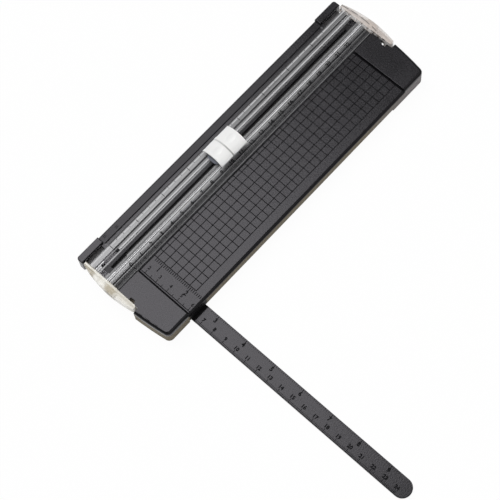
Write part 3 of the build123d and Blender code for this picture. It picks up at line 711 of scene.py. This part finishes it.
@dataclass(frozen=True)
class Rubber:
    """Matt black rubber, dusty where it has been handled."""

    name: str
    clean: Colour = (0.018, 0.018, 0.018)
    dusty: Colour = (0.06, 0.058, 0.055)

    def material(self) -> bpy.types.Material:
        """Make the material.

        Returns:
            The finished material.
        """
        paint = Paint(self.name)
        dust = paint.noise(1.5 * MM, 3.0)
        paint.bump(dust, 0.3, 0.02 * MM)
        tint = paint.blend(dust.rise(0.5, 0.75) * 0.4, self.clean, self.dusty)
        return paint.dress(Base_Color=tint, Roughness=dust * 0.15 + 0.75)


@dataclass(frozen=True)
class MarkInk:
    """Dark marks of the scales, a little worn."""

    name: str
    tint: Colour = (0.006, 0.006, 0.007)
    worn: Colour = (0.02, 0.02, 0.021)

    def material(self) -> bpy.types.Material:
        """Make the material.

        Returns:
            The finished material.
        """
        paint = Paint(self.name)
        wear = paint.noise(0.8 * MM, 3.0)
        tint = paint.blend(wear.rise(0.5, 0.7), self.tint, self.worn)
        return paint.dress(Base_Color=tint, Roughness=wear * 0.1 + 0.85, Specular_IOR_Level=0.1)


# ---------------------------------------------------------------- scale marks
class Turn(Enum):
    """Which way the top of a number points, as its turn from upright."""

    BACK = 0.0
    RIGHT = -math.pi / 2


@dataclass(frozen=True)
class TickRow:
    """Equal ticks of a scale, placed across it and counted along it in its unit."""

    across: float
    first: float
    length: float
    width: float
    count: int
    pitch: float = 1.0


@dataclass(frozen=True)
class DigitRow:
    """Whole numbers of a scale, placed across it and counted along it in its unit."""

    across: float
    first: int
    last: int
    height: float


def nothing_selected() -> None:
    """Leave edit mode and deselect every object."""
    if bpy.context.object and bpy.context.object.mode != "OBJECT":
        bpy.ops.object.mode_set(mode="OBJECT")
    bpy.ops.object.select_all(action="DESELECT")


@dataclass
class MarkSet:
    """Thin marks on one surface, gathered into one piece."""

    name: str
    surface_z: float
    thickness: float = 0.04 * MM
    boldness: float = 0.1 * MM
    tick_bevel: float = 0.3
    digit_share: float = 0.70
    made: list[bpy.types.Object] = field(default_factory=list)

    def _keep(self) -> None:
        """Take the active object into the set, with its place in its mesh."""
        bpy.ops.object.transform_apply(location=True, rotation=True, scale=True)
        self.made.append(bpy.context.object)

    def ticks(self, first: Vector, size: Vector, step: Vector, count: int) -> None:
        """Lay a row of equal ticks.

        Args:
            first: Middle of the first tick, in X and Y.
            size: Its length along X and along Y.
            step: From one tick to the next.
            count: How many ticks there are.
        """
        nothing_selected()
        middle = (first.x, first.y, self.surface_z + self.thickness / 2)
        bpy.ops.mesh.primitive_cube_add(size=1.0, location=middle)
        tick = bpy.context.object
        tick.scale = (size.x, size.y, self.thickness)
        self._keep()
        bpy.ops.object.mode_set(mode="EDIT")
        bpy.ops.mesh.select_all(action="SELECT")
        bpy.ops.mesh.bevel(offset=self.thickness * self.tick_bevel, segments=1, affect="EDGES")
        bpy.ops.mesh.normals_make_consistent(inside=False)
        bpy.ops.object.mode_set(mode="OBJECT")
        if count > 1:
            row = tick.modifiers.new("row", "ARRAY")
            row.count = count
            row.use_relative_offset = False
            row.use_constant_offset = True
            row.constant_offset_displace = (step.x, step.y, 0.0)
            bpy.ops.object.modifier_apply(modifier=row.name)

    def number(self, text: str, place: Vector, height: float, turn: Turn) -> None:
        """Write one number.

        Args:
            text: Its digits.
            place: Its middle, in X and Y.
            height: Height of a digit.
            turn: Which way its top points.
        """
        nothing_selected()
        location = (place.x, place.y, self.surface_z)
        bpy.ops.object.text_add(location=location, rotation=(0.0, 0.0, turn.value))
        words = bpy.context.object
        words.data.body = text
        words.data.size = height / self.digit_share
        words.data.align_x = "CENTER"
        words.data.align_y = "CENTER"
        words.data.extrude = self.thickness / 2
        words.data.offset = self.boldness
        words.data.resolution_u = 2
        bpy.ops.object.convert(target="MESH")
        self._keep()

    def join(
        self, body: str, slot: str, material: bpy.types.Material, slope: float = 0.0, foot_y: float = 0.0
    ) -> None:
        """Join the marks into one piece that rides on a body.

        Args:
            body: The body that carries them.
            slot: The record's material slot, which is not used.
            material: Their finish.
            slope: Angle by which the surface under them rises towards the back.
            foot_y: Where the slope starts.
        """
        nothing_selected()
        for piece in self.made:
            piece.select_set(True)
        bpy.context.view_layer.objects.active = self.made[0]
        bpy.ops.object.join()
        joined = bpy.context.object
        if slope:
            foot = (0.0, foot_y, self.surface_z)
            bpy.ops.object.mode_set(mode="EDIT")
            bpy.ops.mesh.select_all(action="SELECT")
            bpy.ops.transform.rotate(value=-slope, orient_axis="X", center_override=foot)
            bpy.ops.object.mode_set(mode="OBJECT")
        joined.name = self.name
        joined.data.name = self.name
        joined.data.materials.clear()
        joined.data.materials.append(material)
        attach(joined, body)
        log.info("%s: %d faces", self.name, len(joined.data.polygons))


def dress(names: Iterable[str], material: bpy.types.Material) -> None:
    """Give carried-over solids their finish.

    Args:
        names: The solids' names.
        material: Their finish.
    """
    for name in names:
        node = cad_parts[name]
        node.data.materials.clear()
        node.data.materials.append(material)
        log.info("%s: %s", name, material.name)


# ---------------------------------------------------------------- sub-assemblies
@dataclass
class Scales:
    """Where the scales start: along X from the left fence, and towards the front from the cut line."""

    zero_x: float = -110 * MM
    cut_y: float = 21 * MM
    centimetre: float = 10 * MM
    inch: float = 25.4 * MM

    def spot(self, turn: Turn, across: float, distance: float) -> Vector:
        """Find a mark's place.

        Args:
            turn: The way the scale's numbers are turned: BACK on the rail, RIGHT on the board and the ruler.
            across: The mark's place across the scale.
            distance: How far it is from the scale's start.

        Returns:
            Its X and Y.
        """
        if turn is Turn.BACK:
            return Vector((self.zero_x + distance, across))
        return Vector((across, self.cut_y - distance))

    def lay(
        self,
        marks: MarkSet,
        turn: Turn,
        unit: float,
        ticks: Iterable[TickRow],
        digits: Iterable[DigitRow] = (),
    ) -> None:
        """Lay a scale's ticks and numbers.

        Args:
            marks: The set that takes them.
            turn: The way its numbers are turned.
            unit: Length of the scale's unit.
            ticks: Its rows of ticks.
            digits: Its rows of numbers.
        """
        along = self.spot(turn, 0.0, unit) - self.spot(turn, 0.0, 0.0)
        for row in ticks:
            first = self.spot(turn, row.across, row.first * unit)
            size = (row.width, row.length) if turn is Turn.BACK else (row.length, row.width)
            marks.ticks(first, Vector(size), along * row.pitch, row.count)
        for row in digits:
            for count in range(row.first, row.last + 1):
                place = self.spot(turn, row.across, count * unit)
                marks.number(str(count), place, row.height, turn)


@dataclass
class Board:
    """The gridded board with everything that is fixed to it."""

    scales: Scales
    bed_z: float = 12 * MM
    centimetre_ticks: tuple[TickRow, ...] = (
        TickRow(-106.2 * MM, 2, 2.4 * MM, 0.45 * MM, 5),
        TickRow(-106.6 * MM, 2.5, 1.6 * MM, 0.4 * MM, 4),
    )
    centimetre_digits: tuple[DigitRow, ...] = (DigitRow(-103.0 * MM, 2, 6, 2.6 * MM),)
    inch_ticks: tuple[TickRow, ...] = (
        TickRow(-95.6 * MM, 0.75, 2.3 * MM, 0.55 * MM, 27, 1 / 16),
        TickRow(-97.0 * MM, 1, 4.6 * MM, 0.55 * MM, 2),
    )
    inch_digits: tuple[DigitRow, ...] = (DigitRow(-99.9 * MM, 1, 2, 3.6 * MM),)
    bar_marks: tuple[Span, ...] = ((-106.7 * MM, 40.4 * MM), (-96.3 * MM, 39.2 * MM))
    bar_mark_size: Span = (2.4 * MM, 0.4 * MM)
    bar_mark_step: Span = (0.0, -1.1 * MM)

    def dress(self) -> None:
        """Give the board's solids their finishes."""
        cover = MouldedBlack("cover_black", base=(0.012, 0.012, 0.013), rough=0.6)
        dress(["base_shell"], BoardBlack("textured_board_black").material())
        dress(["bottom_cover"], cover.material())
        dress(["cutting_strip"], CuttingMat("cutting_mat_black", self.scales.cut_y).material())
        dress(["foot_strip_centre", "foot_strip_left", "foot_strip_right"], Rubber("foot_rubber").material())
        pins = ["hinge_pin_left", "hinge_pin_right", "ruler_pivot_screw", "ruler_washer", "cover_screws"]
        dress(pins, TurnedSteel("turned_steel").material())

    def mark(self, ink: bpy.types.Material) -> None:
        """Lay the side scales on the bed and the index marks on the back bar.

        Args:
            ink: Finish of the marks.
        """
        marks = MarkSet("board_scale_marks", self.bed_z)
        lay = self.scales.lay
        lay(marks, Turn.RIGHT, self.scales.centimetre, self.centimetre_ticks, self.centimetre_digits)
        lay(marks, Turn.RIGHT, self.scales.inch, self.inch_ticks, self.inch_digits)
        for place in self.bar_marks:
            marks.ticks(Vector(place), Vector(self.bar_mark_size), Vector(self.bar_mark_step), 2)
        marks.join("base", "board_plastic", ink)


@dataclass
class Rail:
    """The clear rail and its end caps, which lift together."""

    scales: Scales
    front_y: float = 5.3 * MM
    back_y: float = 33.2 * MM
    channel_half_width: float = 6.6 * MM
    slot_half_width: float = 2.7 * MM
    step_from_back: float = 1.7 * MM
    groove_from_front: float = 4.5 * MM
    flange_edge_z: float = 14.6 * MM
    flange_root_z: float = 15.6 * MM
    flange_bevel: float = 0.5 * MM
    boldness: float = 0.16 * MM
    centimetre_ticks: tuple[TickRow, ...] = (
        TickRow(7.4 * MM, 0, 2.6 * MM, 0.5 * MM, 23),
        TickRow(6.9 * MM, 0.5, 1.6 * MM, 0.4 * MM, 22),
    )
    centimetre_digits: tuple[DigitRow, ...] = (DigitRow(10.9 * MM, 0, 22, 3.0 * MM),)
    inch_ticks: tuple[TickRow, ...] = (
        TickRow(29.6 * MM, 0, 3.2 * MM, 0.45 * MM, 9),
        TickRow(30.6 * MM, 0.25, 1.2 * MM, 0.3 * MM, 34, 1 / 4),
    )

    def glows(self) -> tuple[Glow, ...]:
        """List the painted highlights along the rail.

        Returns:
            The glows, from the rail's back edge to its front edge.
        """
        cut_y = self.scales.cut_y
        back_wall = cut_y + self.channel_half_width
        front_wall = cut_y - self.channel_half_width
        slot = self.slot_half_width
        step_y = self.back_y - self.step_from_back
        groove_y = self.front_y + self.groove_from_front
        # Each has its Y, half width, blur, film and tint, then how far it fades and whether it is upright.
        return (
            Glow(self.back_y - 0.7 * MM, 0.6 * MM, 0.4 * MM, 0.1, 0.18),
            Glow(step_y - 0.2 * MM, 0.4 * MM, 0.5 * MM, 0.5, 0.5, 0.4),
            Glow(step_y - 0.9 * MM, 0.25 * MM, 0.4 * MM, 0.7, 0.66),
            Glow(back_wall + 1.6 * MM, 1.4 * MM, 0.7 * MM, 0.75, 0.4, 0.72),
            Glow(back_wall - 0.3 * MM, 0.2 * MM, 0.4 * MM, 0.3, 0.36, 0.2),
            Glow(cut_y + slot + 1.3 * MM, 0.5 * MM, 0.9 * MM, 0.5, 0.35, 0.2),
            Glow(cut_y + slot + 0.35 * MM, 0.25 * MM, 0.4 * MM, 0.7, 0.6),
            Glow(cut_y + slot, 0.2 * MM, 0.1 * MM, 0.6, 0.9, 0.0, True),
            Glow(cut_y - slot - 1.9 * MM, 0.6 * MM, 0.7 * MM, 0.45, 0.3, 0.3),
            Glow(front_wall + 0.6 * MM, 0.6 * MM, 0.5 * MM, 0.4, 0.24),
            Glow(front_wall + 0.2 * MM, 0.25 * MM, 0.15 * MM, 0.5, 0.3),
            Glow(front_wall, 0.2 * MM, 0.1 * MM, 0.35, 0.95, 0.0, True),
            Glow(front_wall - 0.2 * MM, 0.3 * MM, 0.15 * MM, 1.0, 1.0),
            Glow(front_wall - 0.9 * MM, 0.3 * MM, 0.3 * MM, 0.5, 0.3),
            Glow(front_wall - 1.6 * MM, 0.2 * MM, 0.35 * MM, 0.75, 0.62, 0.4),
            Glow(front_wall - 2.3 * MM, 0.4 * MM, 0.4 * MM, 0.6, 0.46, 0.65),
            Glow(front_wall - 3.1 * MM, 0.5 * MM, 0.5 * MM, 0.4, 0.38, 0.45),
            Glow(groove_y - 0.6 * MM, 0.2 * MM, 0.35 * MM, 0.5, 0.38, 0.88),
            Glow(groove_y - 1.5 * MM, 0.6 * MM, 0.3 * MM, 0.22, 0.14, 0.3),
            Glow(self.front_y + 1.2 * MM, 0.5 * MM, 0.4 * MM, 0.16, 0.3),
            Glow(self.front_y + 0.2 * MM, 0.2 * MM, 0.2 * MM, 0.9, 0.8),
            Glow(self.front_y, 0.2 * MM, 0.1 * MM, 0.3, 0.5, 0.0, True),
        )

    def dress(self) -> None:
        """Give the rail's solids their finishes."""
        dress(["clear_rail"], ClearPlastic("clear_rail_acrylic", glows=self.glows()).material())
        dress(["end_cap_left", "end_cap_right"], WarmClear("warm_clear_cap").material())
        dress(["end_cap_screws"], TurnedSteel("small_screw_steel").material())

    def mark(self, ink: bpy.types.Material) -> None:
        """Print the centimetre scale on the front flange and the inch scale on the back flange.

        Args:
            ink: Finish of the marks.
        """
        front = MarkSet("rail_centimetre_marks", self.flange_edge_z, boldness=self.boldness)
        foot_y = self.front_y + self.flange_bevel
        run = self.scales.cut_y - self.channel_half_width - foot_y
        slope = math.atan2(self.flange_root_z - self.flange_edge_z, run)
        lay = self.scales.lay
        lay(front, Turn.BACK, self.scales.centimetre, self.centimetre_ticks, self.centimetre_digits)
        front.join("rail", "board_plastic", ink, slope, foot_y)
        back = MarkSet("rail_inch_marks", self.flange_root_z)
        lay(back, Turn.BACK, self.scales.inch, self.inch_ticks)
        back.join("rail", "board_plastic", ink)


@dataclass
class Slider:
    """The carriage, its springs and the press cap with the blade."""

    ridge_x: float = -5.9 * MM
    springs: tuple[str, str] = ("return_spring_left", "return_spring_right")
    travel: float = 1.7 * MM

    def shorten_springs(self) -> None:
        """Give each return spring its own copy of its mesh."""
        for name in self.springs:
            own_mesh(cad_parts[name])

    def dress(self) -> None:
        """Give the slider's solids their finishes."""
        dress(["slider_carriage"], NaturalNylon("shaded_nylon").material())
        dress(["press_cap"], PressWhite("white_cap", self.ridge_x).material())
        dress(["blade_holder"], MouldedBlack("holder_black", rough=0.4).material())
        steel = TurnedSteel("spring_steel").material()
        dress([*self.springs, "cap_screws", "blade_rivet"], steel)
        dress(["trim_blade"], TurnedSteel("ground_blade", (0.62, 0.63, 0.65), 0.2).material())


@dataclass
class Ruler:
    """The ruler that swings out from under the board."""

    scales: Scales
    top_z: float = 2.5 * MM
    boldness: float = 0.2 * MM
    centimetre_ticks: tuple[TickRow, ...] = (
        TickRow(-107.5 * MM, 6.7, 1.5 * MM, 0.3 * MM, 175, 1 / 10),
        TickRow(-106.9 * MM, 7, 2.6 * MM, 0.45 * MM, 18),
    )
    centimetre_digits: tuple[DigitRow, ...] = (DigitRow(-104.0 * MM, 7, 24, 2.6 * MM),)
    inch_ticks: tuple[TickRow, ...] = (
        TickRow(-95.8 * MM, 2.75, 1.2 * MM, 0.28 * MM, 105, 1 / 16),
        TickRow(-96.7 * MM, 3, 3.2 * MM, 0.5 * MM, 7),
    )
    inch_digits: tuple[DigitRow, ...] = (DigitRow(-99.0 * MM, 3, 9, 3.0 * MM),)

    def dress(self) -> None:
        """Give the ruler's solids their finishes."""
        dress(["swing_ruler"], RulerBlack("ruler_black").material())
        dress(["ruler_bush"], TurnedSteel("bush_steel").material())

    def mark(self, ink: bpy.types.Material) -> None:
        """Cut the centimetre scale along its left edge and the inch scale along its right edge.

        Args:
            ink: Finish of the marks.
        """
        marks = MarkSet("ruler_scale_marks", self.top_z, boldness=self.boldness)
        lay = self.scales.lay
        lay(marks, Turn.RIGHT, self.scales.centimetre, self.centimetre_ticks, self.centimetre_digits)
        lay(marks, Turn.RIGHT, self.scales.inch, self.inch_ticks, self.inch_digits)
        marks.join("ruler", "ruler_plastic", ink)


# ---------------------------------------------------------------- studio
@dataclass(frozen=True)
class SkyPatch:
    """A soft bright patch of the sky, by its slopes away from straight above along X and Y."""

    across: Span
    along: Span
    strength: float
    blur: float = 0.1

    def light(self, across: Value, along: Value) -> Value:
        """The patch's light in a direction given by its slopes."""
        patch = across.between(*self.across, self.blur) * along.between(*self.along, self.blur)
        return patch * self.strength


@dataclass
class Studio:
    """Floor, sky and camera. The sky is the only light."""

    target: tuple[float, float, float] = (-45.65 * MM, -37.5 * MM, 0.0)
    distance: float = 1070.83 * MM
    azimuth: float = -39.82
    elevation: float = 68.78
    roll: float = -8.206
    lens: float = 113.03
    sensor: float = 36.0
    clip: Span = (0.01, 20.0)
    floor_size: float = 1.5
    floor_drop: float = 0.05 * MM
    floor_tint: Colour = (0.86, 0.86, 0.86)
    floor_white: float = 0.96
    main_patch: SkyPatch = SkyPatch((-0.4, 0.305), (0.15, 1.5), 6.1, 0.04)
    upper_patch: SkyPatch = SkyPatch((-0.55, 1.6), (-0.15, 1.8), 0.45)
    front_patch: SkyPatch = SkyPatch((-0.6, 1.1), (-1.3, -0.3), 1.05)
    low_light: float = 0.42
    horizon: Span = (0.02, 0.1)
    least_height: float = 0.05

    def camera(self) -> None:
        """Set the camera at its place, rolled about its own axis."""
        angles = (self.azimuth, self.elevation, self.roll)
        azimuth, elevation, roll = (math.radians(angle) for angle in angles)
        back = Vector((
            math.sin(azimuth) * math.cos(elevation),
            -math.cos(azimuth) * math.cos(elevation),
            math.sin(elevation),
        ))
        level = Vector((math.cos(azimuth), math.sin(azimuth), 0.0))
        upright = back.cross(level)
        right = level * math.cos(roll) + upright * math.sin(roll)
        up = upright * math.cos(roll) - level * math.sin(roll)
        data = bpy.data.cameras.new("camera")
        data.lens = self.lens
        data.sensor_width = self.sensor
        data.clip_start, data.clip_end = self.clip
        camera = bpy.data.objects.new("camera", data)
        turned = Matrix((right, up, back)).transposed().to_4x4()
        camera.matrix_world = Matrix.Translation(Vector(self.target) + back * self.distance) @ turned
        bpy.context.scene.collection.objects.link(camera)
        bpy.context.scene.camera = camera

    def floor(self) -> None:
        """Lay the pale floor, which shows white and keeps a soft shadow."""
        nothing_selected()
        bpy.ops.mesh.primitive_plane_add(size=self.floor_size, location=(0, 0, -self.floor_drop))
        floor = bpy.context.object
        floor.name = "floor"
        paint = Paint("pale_floor")
        paint.dress(Base_Color=self.floor_tint, Roughness=0.9)
        share = paint.rays("Camera", "Transmission").most(paint.rays("Glossy") * 0.5) * self.floor_white
        white = paint.node("ShaderNodeEmission", {}, {"Color": (1.0, 1.0, 1.0), "Strength": 1.0})
        mix = paint.node("ShaderNodeMixShader", {}, {0: share, 1: paint.surface.outputs[0]})
        paint.set(mix, 2, white.outputs[0])
        paint.set(paint.output, "Surface", mix.outputs[0])
        floor.data.materials.append(paint.material)

    def sky(self) -> None:
        """A large soft light overhead, dimmer ones around it, and plain white to the camera."""
        world = bpy.data.worlds.new("studio_sky")
        bpy.context.scene.world = world
        world.use_nodes = True
        bench = NodeBench(world.node_tree)
        x, y, z = bench.split(bench.node("ShaderNodeTexCoord").outputs["Generated"])
        height = z.most(self.least_height)
        across = x / height
        along = y / height
        lit = self.main_patch.light(across, along)
        for patch in (self.upper_patch, self.front_patch):
            lit = lit.most(patch.light(across, along))
        strength = (lit * z.rise(*self.horizon)).most(self.low_light)
        light = bench.node("ShaderNodeBackground", {}, {"Strength": strength})
        white = bench.node("ShaderNodeBackground", {}, {"Color": (1.0, 1.0, 1.0)})
        mix = bench.node("ShaderNodeMixShader", {}, {0: bench.rays("Camera", "Transmission")})
        bench.set(mix, 1, light.outputs[0])
        bench.set(mix, 2, white.outputs[0])
        bench.node("ShaderNodeOutputWorld", {}, {"Surface": mix.outputs[0]})

    def build(self) -> None:
        """Set up the whole studio."""
        self.camera()
        self.floor()
        self.sky()
        bpy.context.scene.view_settings.view_transform = "Standard"


def main() -> None:
    """Build the studio and dress each sub-assembly in order."""
    logging.basicConfig(level=logging.INFO, format="%(message)s")
    Studio().build()
    ink = MarkInk("scale_ink").material()
    scales = Scales()
    board, rail, slider, ruler = Board(scales), Rail(scales), Slider(), Ruler(scales)
    for part in (board, rail, slider, ruler):
        part.dress()
    for part in (board, rail, ruler):
        part.mark(ink)
    slider.shorten_springs()


if __name__ == "__main__":
    main()
